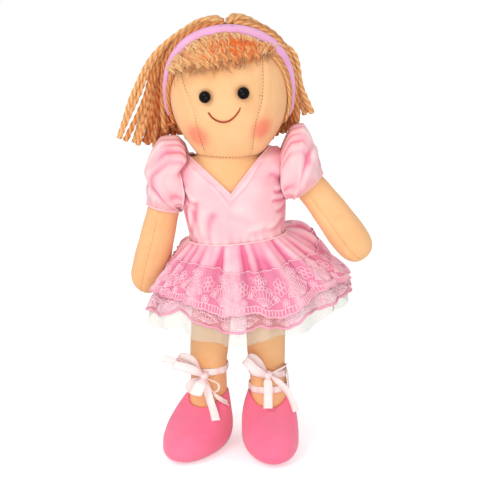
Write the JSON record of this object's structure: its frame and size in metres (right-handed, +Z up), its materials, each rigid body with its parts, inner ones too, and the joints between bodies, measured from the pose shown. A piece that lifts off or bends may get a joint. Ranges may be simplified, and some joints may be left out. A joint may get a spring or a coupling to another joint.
{
  "type": "rag doll",
  "caption": "Stuffed cloth doll in a ballet dress, with yarn hair, bead eyes, soft jointed arms, legs and neck, and ribbon-tied shoes.",
  "frame": {"origin": "middle of the doll's footprint box, on the floor under its soles", "axes": "+Z up, -Y to the doll's front, +X towards the doll's own left hand, which is the right of the picture"},
  "size_m": [0.1928, 0.1312, 0.34],
  "materials": {
    "skin_jersey": "fine knitted jersey, stuffed",
    "pink_satin": "polyester satin with a soft shine",
    "pink_lace": "embroidered net with a satin stitched edge",
    "tulle": "fine stiff net",
    "hair_yarn": "plied acrylic yarn",
    "shoe_jersey": "brushed jersey, stuffed",
    "pale_ribbon": "narrow satin ribbon",
    "lilac_ribbon": "narrow satin ribbon",
    "eye_bead": "polished black bead",
    "eye_washer": "moulded white plastic",
    "hook_tape": "woven hook-and-loop tape",
    "mouth_thread": "embroidery thread",
    "wadding": "polyester filling"
  },
  "bodies": {
    "torso": {"torso": "skin_jersey", "bodice": "pink_satin", "back_closure_left": "hook_tape", "back_closure_right": "hook_tape", "waist_piping": "pink_satin", "skirt_satin": "pink_satin", "lace_upper": "pink_lace", "lace_lower": "pink_lace", "petticoat": "tulle"},
    "neck": {"neck_stuffing": "wadding"},
    "head": {"head": "skin_jersey", "eye_left": "eye_bead", "eye_right": "eye_bead", "eye_washer_left": "eye_washer", "eye_washer_right": "eye_washer", "smile_thread": "mouth_thread", "headband": "lilac_ribbon", "fringe": "hair_yarn", "hair_crown": "hair_yarn", "hair_back": "hair_yarn", "hair_left": "hair_yarn", "hair_right": "hair_yarn"},
    "arm_left": {"arm_left": "skin_jersey", "sleeve_left": "pink_satin"},
    "arm_right": {"arm_right": "skin_jersey", "sleeve_right": "pink_satin"},
    "leg_left": {"leg_left": "skin_jersey", "shoe_left": "shoe_jersey", "sole_left": "shoe_jersey", "ankle_ribbon_left": "pale_ribbon", "bow_left": "pale_ribbon"},
    "leg_right": {"leg_right": "skin_jersey", "shoe_right": "shoe_jersey", "sole_right": "shoe_jersey", "ankle_ribbon_right": "pale_ribbon", "ankle_strap_right": "pale_ribbon", "bow_right": "pale_ribbon"}
  },
  "joints": [
    {"name": "neck_nod", "type": "hinge", "parent": "torso", "child": "neck", "pos_m": [-0.01155, 0, 0.22796], "axis": [1, 0, 0], "range_deg": [-15, 15]},
    {"name": "neck_turn", "type": "hinge", "parent": "neck", "child": "head", "pos_m": [-0.01155, 0, 0.22796], "axis": [0, 0, 1], "range_deg": [-30, 30], "deforming": ["hair_left", "hair_right"]},
    {"name": "shoulder_left", "type": "hinge", "parent": "torso", "child": "arm_left", "pos_m": [-0.05752, 0, 0.21444], "axis": [-0.9959, 0, -0.0906], "range_deg": [-45, 135]},
    {"name": "shoulder_right", "type": "hinge", "parent": "torso", "child": "arm_right", "pos_m": [0.03848, 0, 0.22318], "axis": [-0.9959, 0, -0.0906], "range_deg": [-45, 135]},
    {"name": "hip_left", "type": "hinge", "parent": "torso", "child": "leg_left", "pos_m": [-0.02526, 0, 0.125], "axis": [-1, 0, 0], "range_deg": [-20, 90], "deforming": ["skirt_satin", "lace_upper", "lace_lower", "petticoat"]},
    {"name": "hip_right", "type": "hinge", "parent": "torso", "child": "leg_right", "pos_m": [0.01574, 0, 0.125], "axis": [-1, 0, 0], "range_deg": [-20, 90], "deforming": ["skirt_satin", "lace_upper", "lace_lower", "petticoat"]}
  ]
}
